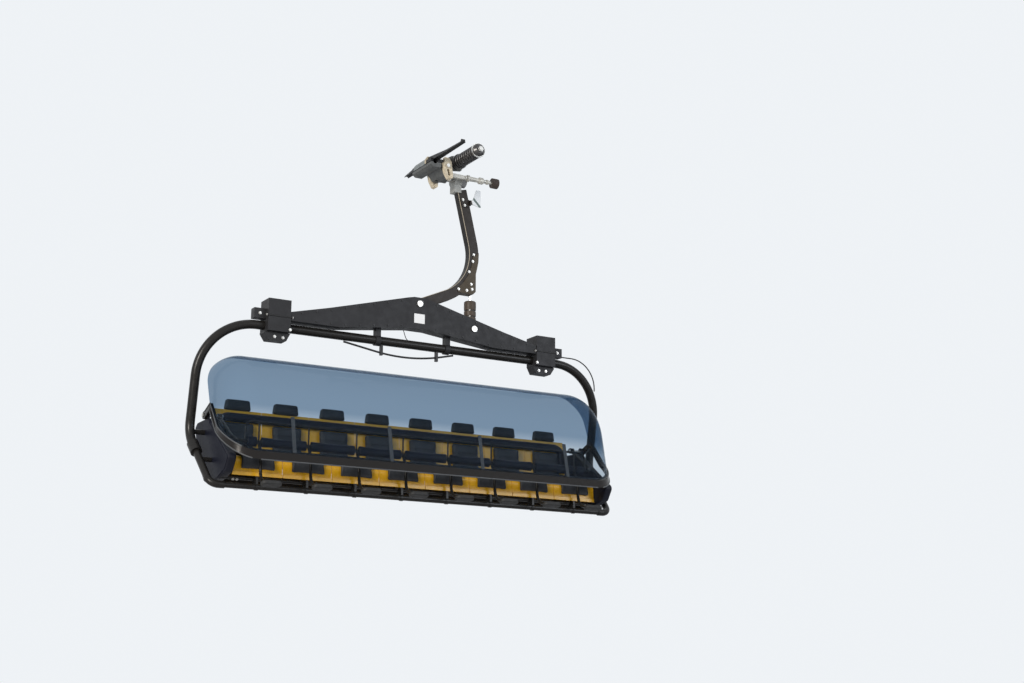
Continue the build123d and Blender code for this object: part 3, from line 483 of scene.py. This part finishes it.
# The finish of each slot: its name, its recipe, its colour and what else the recipe takes
FINISHES = {name: recipe(name, *values) for name, recipe, *values in (
    ("hoop_black", powder_coat, (0.014, 0.013, 0.012), 0.28),
    ("beam_charcoal", powder_coat, (0.021, 0.021, 0.023), 0.46),
    # The hanger's second colour is the lighter colour of its painted highlight on one front edge
    ("hanger_brown", hanger_paint_with_painted_light, (0.027, 0.022, 0.019), (0.42, 0.37, 0.29)),
    ("zinc_steel", galvanised, (0.62, 0.61, 0.58), 0.85, 0.34),
    ("grip_steel", galvanised, (0.115, 0.120, 0.118), 0.35, 0.5),
    ("grip_cream", galvanised, (0.62, 0.54, 0.40), 0.1, 0.5),
    ("lever_metal", galvanised, (0.60, 0.58, 0.52), 0.35, 0.4),
    ("spring_black", powder_coat, (0.020, 0.018, 0.018), 0.26, 0.7),
    ("head_grey", galvanised, (0.42, 0.42, 0.39), 0.25, 0.5),
    ("roller_brown", rubber, (0.05, 0.036, 0.03)),
    ("roller_grey", rubber, (0.26, 0.26, 0.26)),
    ("chrome_rod", bright_metal, (0.8, 0.8, 0.8), 0.08),
    ("bellows_rubber", rubber, (0.060, 0.044, 0.032), 0.5),
    ("fin_white", banded_fin, (0.83, 0.86, 0.88), (0.10, 0.14, 0.13)),
    ("plate_white", enamel, (0.85, 0.85, 0.84)),
    ("shell_yellow", moulded, (0.80, 0.42, 0.012), 0.26),
    ("cushion_dark", upholstery, (0.032, 0.034, 0.038)),
    ("headrest_grey", upholstery, (0.05, 0.048, 0.047)),
    ("pad_navy", upholstery, (0.006, 0.007, 0.014), 0.46, 0.2),
    ("cheek_navy", moulded, (0.005, 0.006, 0.013), 0.5, 0.12),
    ("cable_black", rubber, (0.016, 0.016, 0.017), 0.45),
    ("foot_rubber", rubber, (0.022, 0.022, 0.022)),
    ("strap_grey", moulded, (0.075, 0.08, 0.085), 0.4),
    ("rim_dark", moulded, (0.010, 0.008, 0.007), 0.16, 0.25),
    ("bubble_tint", smoked_sheet, (0.016, 0.030, 0.048), (0.50, 0.595, 0.69)),
)}

# Two nodes have a paint that the rest of their slot hasn't
OWN_PAINT = {
    "fixed_jaw": jaw_paint("jaw_paint", (0.24, 0.26, 0.26), (0.022, 0.022, 0.023)),
    "hanger_foot": powder_coat("plate_paint", (0.062, 0.047, 0.029), 0.42),
}


def dress_frame():
    """Every node of the frame gets its own paint or the finish of its slot."""
    for part in frame["record"]["subparts"]:
        mesh = frame["nodes"][part["node"]].data
        finish = OWN_PAINT.get(part["node"]) or FINISHES[part["material_slot"]]
        if mesh.materials:
            for i in range(len(mesh.materials)):
                mesh.materials[i] = finish
        else:
            mesh.materials.append(finish)


# Mesh helpers
def add_object(name, data):
    """An object at the origin, shown in the scene."""
    made = bpy.data.objects.new(name, data)
    bpy.context.scene.collection.objects.link(made)
    return made


def fix(piece, body, slot):
    """The piece rides on a body and takes its finish from a slot, if it has none yet."""
    if not piece.data.materials:
        piece.data.materials.append(FINISHES[slot])
    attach(piece, body)


def merged(node_name):
    """A copy of a node's mesh with its triangles joined up."""
    mesh = bmesh.new()
    mesh.from_mesh(frame["nodes"][node_name].data)
    bmesh.ops.remove_doubles(mesh, verts=mesh.verts, dist=MERGE)
    return mesh


def loose_parts(node_name):
    """The solids of a node, each as a list of points and a list of triangles."""
    mesh = merged(node_name)
    mesh.verts.ensure_lookup_table()
    seen, parts = set(), []
    for start in mesh.verts:
        if start in seen:
            continue
        seen.add(start)
        group, queue = [], [start]
        while queue:
            here = queue.pop()
            group.append(here)
            for edge in here.link_edges:
                other = edge.other_vert(here)
                if other not in seen:
                    seen.add(other)
                    queue.append(other)
        number = {v: i for i, v in enumerate(group)}
        faces = {f for v in group for f in v.link_faces}
        faces = sorted([number[v] for v in f.verts] for f in faces)
        parts.append(([v.co.copy() for v in group], faces))
    mesh.free()
    return parts


def corners(points):
    """The lowest and the highest corner of the points' box."""
    low = Vector([min(p[i] for p in points) for i in range(3)])
    high = Vector([max(p[i] for p in points) for i in range(3)])
    return low, high


def middle(points):
    """The centre of the points' box."""
    low, high = corners(points)
    return (low + high) / 2


def extent(points):
    """The size of the points' box."""
    low, high = corners(points)
    return high - low


# Padded parts
def remeshed(name, points, faces, voxel):
    """A plain solid as an object with an even mesh, a little smoothed."""
    mesh = bpy.data.meshes.new(name)
    mesh.from_pydata(points, [], faces)
    work = add_object(name, mesh)
    remesh = work.modifiers.new("remesh", "REMESH")
    remesh.mode = "VOXEL"
    remesh.voxel_size = voxel
    smooth = work.modifiers.new("smooth", "SMOOTH")
    smooth.factor = 0.5
    smooth.iterations = 3
    depsgraph = bpy.context.evaluated_depsgraph_get()
    even = bpy.data.meshes.new_from_object(work.evaluated_get(depsgraph))
    work.modifiers.clear()
    work.data = even
    return work


def blown_up(work):
    """The places of an object's points after it is blown up as cloth."""
    cloth = work.modifiers.new("cloth", "CLOTH")
    for key, value in CLOTH.items():
        setattr(cloth.settings, key, value)
    cloth.settings.effector_weights.gravity = 0
    cloth.point_cache.frame_end = CLOTH_STEPS
    for step in range(1, CLOTH_STEPS + 1):
        bpy.context.scene.frame_set(step)
    depsgraph = bpy.context.evaluated_depsgraph_get()
    blown = work.evaluated_get(depsgraph).to_mesh()
    moved = [v.co.copy() for v in blown.vertices]
    work.evaluated_get(depsgraph).to_mesh_clear()
    work.modifiers.clear()
    bpy.context.scene.frame_set(1)
    return moved


def swell(name, points, faces, voxel, inset, cap):
    """A soft body grown from a plain solid: drawn in, blown up within a cap and filled out again."""
    work = remeshed(name, points, faces, voxel)
    even = work.data
    outward = [v.normal.copy() for v in even.vertices]
    for vertex, way in zip(even.vertices, outward):
        vertex.co -= way * inset
    start = [v.co.copy() for v in even.vertices]
    moved = blown_up(work)
    out = []
    for before, after, way in zip(start, moved, outward):
        step = after - before
        step *= min(1.0, cap / max(step.length, 1e-9))
        out.append(before + step + way * (inset + FILLING))
    shape = [list(p.vertices) for p in even.polygons]
    bpy.data.objects.remove(work)
    return out, shape


def soft_piece(name, groups):
    """One smooth mesh from several groups of points and faces."""
    points, faces = [], []
    for group_points, group_faces in groups:
        offset = len(points)
        points.extend(group_points)
        faces.extend([i + offset for i in f] for f in group_faces)
    mesh = bpy.data.meshes.new(name)
    mesh.from_pydata(points, [], faces)
    piece = add_object(name, mesh)
    fixer = bmesh.new()
    fixer.from_mesh(mesh)
    bmesh.ops.recalc_face_normals(fixer, faces=fixer.faces)
    fixer.to_mesh(mesh)
    fixer.free()
    mesh.shade_smooth()
    return piece


def is_mirror(home, there):
    """True where a solid at one end of the chair mirrors the one at the other end."""
    return abs(home.x) > MIRRORED_X and abs(there.x + home.x) < SAME_PLACE


def padded_row(
        node_name, piece_name, slot, body, sewn=None,
        voxel=0.007, inset=0.004, cap=0.009):
    """The soft solids of a node: one of each size is blown up, and the others repeat or mirror it."""
    models, groups = [], []
    parts = sorted(loose_parts(node_name), key=lambda part: -middle(part[0]).x)
    for part_points, part_faces in parts:
        there, size = middle(part_points), extent(part_points)
        model = next((m for m in models if (m[0] - size).length < SAME_SIZE), None)
        if model is None:
            points, faces = swell(piece_name, part_points, part_faces, voxel, inset, cap)
            if sewn:
                points = sewn(points, faces)
            model = (size, there, points, faces)
            models.append(model)
        _, home, points, faces = model
        if is_mirror(home, there):
            groups.append(([Vector((-p.x, p.y, p.z)) for p in points], faces))
        else:
            groups.append(([p + there - home for p in points], faces))
    piece = soft_piece(piece_name, groups)
    fix(piece, body, slot)
    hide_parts(node_name)
    return piece


def normals_of(points, faces):
    """The outward direction at each point."""
    mesh = bpy.data.meshes.new("probe")
    mesh.from_pydata(points, [], faces)
    out = [v.normal.copy() for v in mesh.vertices]
    bpy.data.meshes.remove(mesh)
    return out


def groove(distance, width, depth):
    """How deep a sewn seam draws the cover in at a distance from it."""
    return depth * math.exp(-((distance / width) ** 2))


def sewn_back(points, faces):
    """Two cross seams and a border seam on a back cushion, but none on its rear."""
    low, high = corners(points)
    centre, tall = middle(points), high.z - low.z
    out = []
    for p, n in zip(points, normals_of(points, faces)):
        if n.y > 0.3:
            out.append(p)
            continue
        up = (p.z - low.z) / tall
        depths = [groove((up - share) * tall, *BACK_CROSS_SEAM) for share in BACK_CROSS_SHARES]
        depths.append(groove(abs(p.x - centre.x) - BACK_BORDER_X, *BORDER_SEAM))
        out.append(p - n * max(depths))
    return out


def sewn_seat(points, faces):
    """Cross seams and side seams on a seat cushion, but none underneath."""
    centre = middle(points)
    out = []
    for p, n in zip(points, normals_of(points, faces)):
        if n.z < -0.4:
            out.append(p)
            continue
        depths = [groove(p.y - y, *SEAT_CROSS_SEAM) for y in SEAT_CROSS_YS]
        depths.append(groove(p.y - SEAT_FRONT_Y, *SEAT_FRONT_SEAM))
        depths.append(groove(abs(p.x - centre.x) - SEAT_BORDER_X, *BORDER_SEAM))
        out.append(p - n * max(depths))
    return out


def padded_parts():
    """Every soft part of the seats and of the lap bar."""
    padded_row("back_cushions", "back_cushions_sewn", "cushion_dark", "carrier", sewn_back)
    padded_row(
        "seat_cushions", "seat_cushions_sewn", "cushion_dark", "carrier", sewn_seat,
        voxel=0.008)
    padded_row(
        "headrests", "headrests_sewn", "headrest_grey", "carrier",
        voxel=0.006, cap=0.006, inset=0.003)
    padded_row(
        "top_bolster", "top_bolster_sewn", "pad_navy", "carrier",
        voxel=0.011, cap=0.008)
    padded_row(
        "side_pads", "side_pads_sewn", "pad_navy", "carrier",
        voxel=0.010, cap=0.006)
    padded_row(
        "lap_bar_padding", "lap_bar_sleeves", "pad_navy", "restraint",
        voxel=0.006, cap=0.004, inset=0.002)


# Fittings made by Geometry Nodes
def node_tree(name, sizes):
    """A node tree with a mesh going in and out, and one named input for each size."""
    tree = bpy.data.node_groups.new(name, "GeometryNodeTree")
    sockets = tree.interface
    sockets.new_socket(name="Mesh", in_out="INPUT", socket_type="NodeSocketGeometry")
    for label, value in sizes.items():
        size = sockets.new_socket(name=label, in_out="INPUT", socket_type="NodeSocketFloat")
        size.default_value = value
    sockets.new_socket(name="Mesh", in_out="OUTPUT", socket_type="NodeSocketGeometry")
    return tree, tree.nodes.new("NodeGroupInput"), tree.nodes.new("NodeGroupOutput")


def finish_tree(tree, geometry, output, slot):
    """Realized instances with the slot's material go to the output."""
    real = tree.nodes.new("GeometryNodeRealizeInstances")
    tree.links.new(geometry, real.inputs[0])
    coat = node(
        tree, "GeometryNodeSetMaterial",
        Geometry=real.outputs[0], Material=FINISHES[slot])
    tree.links.new(coat.outputs["Geometry"], output.inputs[0])


def grown(name, mesh, tree, sizes=None):
    """The plain piece that a node tree makes out of a mesh, with some of the tree's sizes set."""
    work = add_object(name + "_seed", mesh)
    modifier = work.modifiers.new("nodes", "NODES")
    modifier.node_group = tree
    for item in tree.interface.items_tree:
        if item.in_out == "INPUT" and item.name in (sizes or {}):
            modifier[item.identifier] = sizes[item.name]
    depsgraph = bpy.context.evaluated_depsgraph_get()
    made = bpy.data.meshes.new_from_object(work.evaluated_get(depsgraph))
    made.name = name
    bpy.data.objects.remove(work)
    return add_object(name, made)


def seeds(name, places):
    """A mesh of loose points; each place is a point and the direction that it faces."""
    mesh = bpy.data.meshes.new(name)
    mesh.from_pydata([point for point, _ in places], [], [])
    turns = mesh.attributes.new("turn", "FLOAT_VECTOR", "POINT")
    for i, (_, facing) in enumerate(places):
        turns.data[i].vector = Vector(facing).to_track_quat("Z", "Y").to_euler()
    return mesh


def on_points(tree, points, instance):
    """Instances on points, each turned by its point's own attribute."""
    turn = node(
        tree, "GeometryNodeInputNamedAttribute", {"data_type": "FLOAT_VECTOR"},
        Name="turn")
    rotation = tree.nodes.new("FunctionNodeEulerToRotation")
    tree.links.new(turn.outputs[0], rotation.inputs[0])
    copies = node(
        tree, "GeometryNodeInstanceOnPoints",
        Points=points, Instance=instance, Rotation=rotation.outputs[0])
    return copies.outputs[0]


def drum(tree, source, sides, radius, height):
    """A drum whose radius and height are inputs of the tree."""
    made = node(
        tree, "GeometryNodeMeshCylinder",
        Vertices=sides, Radius=source.outputs[radius], Depth=source.outputs[height])
    return made.outputs["Mesh"]


def tube(tree, curve, radius, sides):
    """A smooth round tube along a curve, closed at its ends."""
    ring = node(tree, "GeometryNodeCurvePrimitiveCircle", Resolution=sides, Radius=radius)
    swept = node(
        tree, "GeometryNodeCurveToMesh",
        Curve=curve, Profile_Curve=ring.outputs[0], Fill_Caps=True)
    smooth = tree.nodes.new("GeometryNodeSetShadeSmooth")
    tree.links.new(swept.outputs[0], smooth.inputs[0])
    return smooth.outputs[0]


def bolt_tree(slot):
    """A hexagonal head on a round washer, set on every point of the mesh that goes in."""
    tree, source, output = node_tree("bolts_" + slot, {
        "Head radius": 0.014,
        "Head height": 0.010,
        "Washer radius": 0.018,
        "Washer height": 0.003,
    })
    joined = tree.nodes.new("GeometryNodeJoinGeometry")
    for sides, piece in ((6, "Head"), (20, "Washer")):
        radius, height = piece + " radius", piece + " height"
        half = maths(tree, "MULTIPLY", source.outputs[height], 0.5)
        place = node(tree, "ShaderNodeCombineXYZ", Z=half)
        standing = node(
            tree, "GeometryNodeTransform",
            Geometry=drum(tree, source, sides, radius, height), Translation=place.outputs[0])
        tree.links.new(standing.outputs[0], joined.inputs[0])
    copies = on_points(tree, source.outputs["Mesh"], joined.outputs[0])
    finish_tree(tree, copies, output, slot)
    return tree


def drum_tree(slot):
    """A round drum on every point of the mesh that goes in."""
    tree, source, output = node_tree("drums_" + slot, {"Radius": 0.03, "Height": 0.02})
    copies = on_points(tree, source.outputs["Mesh"], drum(tree, source, 40, "Radius", "Height"))
    finish_tree(tree, copies, output, slot)
    return tree


def bolts(name, places, body, slot, **sizes):
    """Bolts at the places, as one mesh that rides on a body."""
    sizes = {key.replace("_", " ").capitalize(): value for key, value in sizes.items()}
    fix(grown(name, seeds(name, places), bolt_tree(slot), sizes), body, slot)


def collars(name, places, body, slot, radius, height):
    """Round collars at the places, as one mesh that rides on a body."""
    sizes = {"Radius": radius, "Height": height}
    fix(grown(name, seeds(name, places), drum_tree(slot), sizes), body, slot)


def spring_coils():
    """The grip's coil spring: a round wire wound round the spring's axis."""
    tree, source, output = node_tree("coil", {
        "Turns": SPRING_TURNS,
        "Radius": SPRING_R - SPRING_WIRE_R,
        "Wire radius": SPRING_WIRE_R,
        "Length": SPRING_ENDS[1] - SPRING_ENDS[0] - 2 * SPRING_WIRE_R,
    })
    radius = source.outputs["Radius"]
    spiral = node(
        tree, "GeometryNodeCurveSpiral",
        Resolution=40, Rotations=source.outputs["Turns"],
        Start_Radius=radius, End_Radius=radius, Height=source.outputs["Length"])
    wire = tube(tree, spiral.outputs[0], source.outputs["Wire radius"], 14)
    laid = node(
        tree, "GeometryNodeTransform",
        Geometry=wire, Rotation=(math.pi / 2, 0, 0),
        Translation=(SPRING_AXIS[0], SPRING_ENDS[1] - SPRING_WIRE_R, SPRING_AXIS[1]))
    finish_tree(tree, laid.outputs[0], output, "spring_black")
    seed = bpy.data.meshes.new("coil_seed")
    seed.from_pydata([(0, 0, 0)], [], [])
    piece = grown("grip_spring_coils", seed, tree)
    fix(piece, "grip", "spring_black")
    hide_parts("grip_spring")


def clamp_places():
    """The bolts of both hoop clamps: as the photograph shows them in front, and in pairs behind."""
    places = []
    for side in ENDS:
        for x, y, z in CLAMP_FRONT_BOLTS:
            places.append(((side * (CLAMP_X + x), y, z), FRONT))
        for x in CLAMP_REAR_BOLT_XS:
            for z in CLAMP_REAR_BOLT_ZS:
                places.append(((side * (CLAMP_X + x), CLAMP_REAR_Y, z), REAR))
    return places


def fastenings():
    """Bolts on the hanger, the clamps and the seats' front rail."""
    front, rear = HANGER_FRONT_Y - FOOT_PLATE_THICK, HANGER_REAR_Y + FOOT_PLATE_THICK
    places = [((x, front, z), FRONT) for x, z in FOOT_BOLTS]
    places += [((x, rear, z), REAR) for x, z in FOOT_BOLTS]
    places += [((x, HANGER_FRONT_Y - FIN_BRACKET_THICK, z), FRONT) for x, z in BRACKET_BOLTS]
    bolts(
        "hanger_bolts", places, "carrier", "zinc_steel",
        head_radius=0.011, washer_radius=0.015)

    bolts(
        "clamp_bolts", clamp_places(), "carrier", "zinc_steel",
        head_radius=0.011, washer_radius=0.015)

    slant = Vector(RAIL_BOLT_WAY)
    places = [(Vector((x, *FRONT_RAIL)) + slant * FRONT_RAIL_R, slant) for x in RAIL_BOLT_XS]
    bolts(
        "rail_bolts", places, "carrier", "zinc_steel",
        head_radius=0.010, washer_radius=0.014)


def yoke_edge(table, x):
    """The height of an edge of the yoke at a distance from its middle."""
    runs = zip(table, table[1:])
    (x0, z0), (x1, z1) = next(run for run in runs if run[0][0] <= x <= run[1][0])
    return z0 + (z1 - z0) * (x - x0) / (x1 - x0)


def yoke_rivets():
    """Small rivets along both edges of both yoke plates."""
    places = []
    for side in ENDS:
        for step in range(RIVETS):
            x = RIVET_START_X + step * RIVET_PITCH
            heights = [yoke_edge(YOKE_UPPER_EDGE, x) - RIVET_UPPER_INSET]
            if x < RIVET_LOWER_END_X:
                heights.append(yoke_edge(YOKE_LOWER_EDGE, x) + RIVET_LOWER_INSET)
            for z in heights:
                places.append(((side * x, YOKE_FRONT_Y, z), FRONT))
                places.append(((side * x, YOKE_REAR_Y, z), REAR))
    bolts(
        "yoke_rivets", places, "carrier", "cable_black",
        head_radius=0.009, head_height=0.006, washer_radius=0.012, washer_height=0.002)


def clamp_rods():
    """The tie rods that run across each clamp where its two halves meet, with a nut at both ends."""
    rods, nuts = [], []
    for side in ENDS:
        for y in (CLAMP_FRONT_Y + CLAMP_ROD_SUNK, CLAMP_REAR_Y - CLAMP_ROD_SUNK):
            rods.append(((side * CLAMP_X, y, CLAMP_JOINT_Z), ACROSS))
            for end in ENDS:
                x = side * CLAMP_X + end * CLAMP_ROD_LONG / 2
                nuts.append(((x, y, CLAMP_JOINT_Z), (end, 0, 0)))
    collars("clamp_rods", rods, "carrier", "cable_black", CLAMP_ROD_R, CLAMP_ROD_LONG)
    bolts(
        "clamp_rod_nuts", nuts, "carrier", "zinc_steel",
        head_radius=0.011, washer_radius=0.013)


def bands_and_collars():
    """Clamp bands with screws in the bellows' grooves, and the posts' collars on the cross tube."""
    grooves = [Vector((*BELLOWS_AXIS, z)) for z in BELLOWS_GROOVES]
    bands = [(groove_at, UP) for groove_at in grooves]
    collars(
        "bellows_bands", bands, "carrier", "cable_black", BELLOWS_BAND_R, BELLOWS_BAND_HIGH)
    outward = Vector(BAND_SCREW_WAY)
    screws = [(groove_at + outward * BELLOWS_BAND_R, outward) for groove_at in grooves]
    bolts(
        "band_screws", screws, "carrier", "zinc_steel",
        head_radius=0.007, head_height=0.007, washer_radius=0.008)
    posts = [((x, *CROSS_TUBE), ACROSS) for x in SEAT_XS]
    collars(
        "post_collars", posts, "carrier", "hoop_black", CROSS_TUBE_R + COLLAR_WALL, COLLAR_LONG)


def rim_lines():
    """The sharp outer edges of the bubble's rim as a mesh of lines, without its ends."""
    mesh = merged("bubble_rim")
    centre = Vector(RIM_MIDDLE)
    points, lines, number = [], [], {}
    for edge in mesh.edges:
        if len(edge.link_faces) != 2 or edge.calc_face_angle() < SHARP:
            continue
        at = (edge.verts[0].co + edge.verts[1].co) / 2
        away = (at - centre).normalized()
        outward = [face.normal.dot(away) for face in edge.link_faces]
        if max(outward) < LEAST_OUTWARD or min(outward) < MOST_INWARD or at.y > RIM_REAR_Y:
            continue
        for vertex in edge.verts:
            if vertex not in number:
                number[vertex] = len(points)
                points.append(vertex.co.copy())
        lines.append([number[v] for v in edge.verts])
    mesh.free()
    made = bpy.data.meshes.new("bubble_rim_edges")
    made.from_pydata(points, lines, [])
    return made


def rim_beads():
    """Rounded beads along the outer edges of the bubble's rim, in a lighter grey that paints a
    highlight line along them.
    """
    tree, source, output = node_tree("beads", {"Bead radius": BEAD_R})
    line = node(tree, "GeometryNodeMeshToCurve", Mesh=source.outputs["Mesh"])
    bead = tube(tree, line.outputs[0], source.outputs["Bead radius"], 12)
    # The strap grey is lighter than the rim, so the beads paint a highlight line along its edges
    finish_tree(tree, bead, output, "strap_grey")
    fix(grown("bubble_rim_beads", rim_lines(), tree), "bubble", "strap_grey")


# Light, floor and camera
def floor():
    """A wide pale floor at the camera's feet."""
    mesh = bpy.data.meshes.new("floor")
    half, z = FLOOR_HALF, FLOOR_Z
    square = [(-half, -half, z), (half, -half, z), (half, half, z), (-half, half, z)]
    mesh.from_pydata(square, [], [(0, 1, 2, 3)])
    material, tree, shader = begin("floor_pale")
    feed(
        tree, shader,
        Base_Color=ramp(tree, cloudy(tree, 0.6), (0.3, 0.80), (0.7, 0.84)),
        Roughness=0.8)
    mesh.materials.append(material)
    add_object("floor", mesh)


def background():
    """A plain world: pale where the camera, gloss and glass see it, and dimmer as a light."""
    world = bpy.data.worlds.new("plain")
    world.use_nodes = True
    tree = world.node_tree
    tree.nodes.clear()
    rays = tree.nodes.new("ShaderNodeLightPath")
    seen = rays.outputs["Is Camera Ray"]
    for kind in ("Is Glossy Ray", "Is Transmission Ray"):
        seen = maths(tree, "MAXIMUM", seen, rays.outputs[kind])
    dim = node(tree, "ShaderNodeBackground", Color=(0.76, 0.82, 0.92, 1), Strength=0.36)
    pale = node(tree, "ShaderNodeBackground", Color=(0.86, 0.89, 0.92, 1), Strength=1.0)
    output = tree.nodes.new("ShaderNodeOutputWorld")
    shown = blended(tree, seen, dim.outputs[0], pale.outputs[0])
    tree.links.new(shown, output.inputs["Surface"])
    bpy.context.scene.world = world


def lamps():
    """Large soft lamps that aim at the chair; the one behind makes no glints."""
    for name, place, size, power, tint in LAMPS:
        lamp = bpy.data.lights.new(name, "AREA")
        lamp.shape = "DISK"
        lamp.size = size
        lamp.energy = power
        lamp.color = tint
        holder = add_object(name, lamp)
        holder.location = place
        aim = Vector(LAMPS_AIM) - Vector(place)
        holder.rotation_euler = aim.to_track_quat("-Z", "Y").to_euler()
        holder.visible_glossy = name != "back"


def camera():
    """The photograph's view: from below, at floor level, to the left of the chair's front."""
    lens = bpy.data.cameras.new("camera")
    lens.sensor_width = SENSOR_MM
    lens.lens = FOCAL_PIXELS / WIDTH_PIXELS * SENSOR_MM
    lens.clip_end = FURTHEST_SEEN
    holder = add_object("camera", lens)
    turn = Matrix.Rotation(-math.radians(CAMERA_YAW), 4, "Z")
    turn = turn @ Matrix.Rotation(math.pi / 2 + math.radians(CAMERA_PITCH), 4, "X")
    turn = turn @ Matrix.Rotation(math.radians(CAMERA_ROLL), 4, "Z")
    holder.matrix_world = Matrix.Translation(CAMERA_AT) @ turn
    bpy.context.scene.camera = holder


bpy.context.scene.view_settings.view_transform = "Standard"
floor()
background()
lamps()
camera()
dress_frame()
padded_parts()
spring_coils()
fastenings()
yoke_rivets()
clamp_rods()
bands_and_collars()
rim_beads()
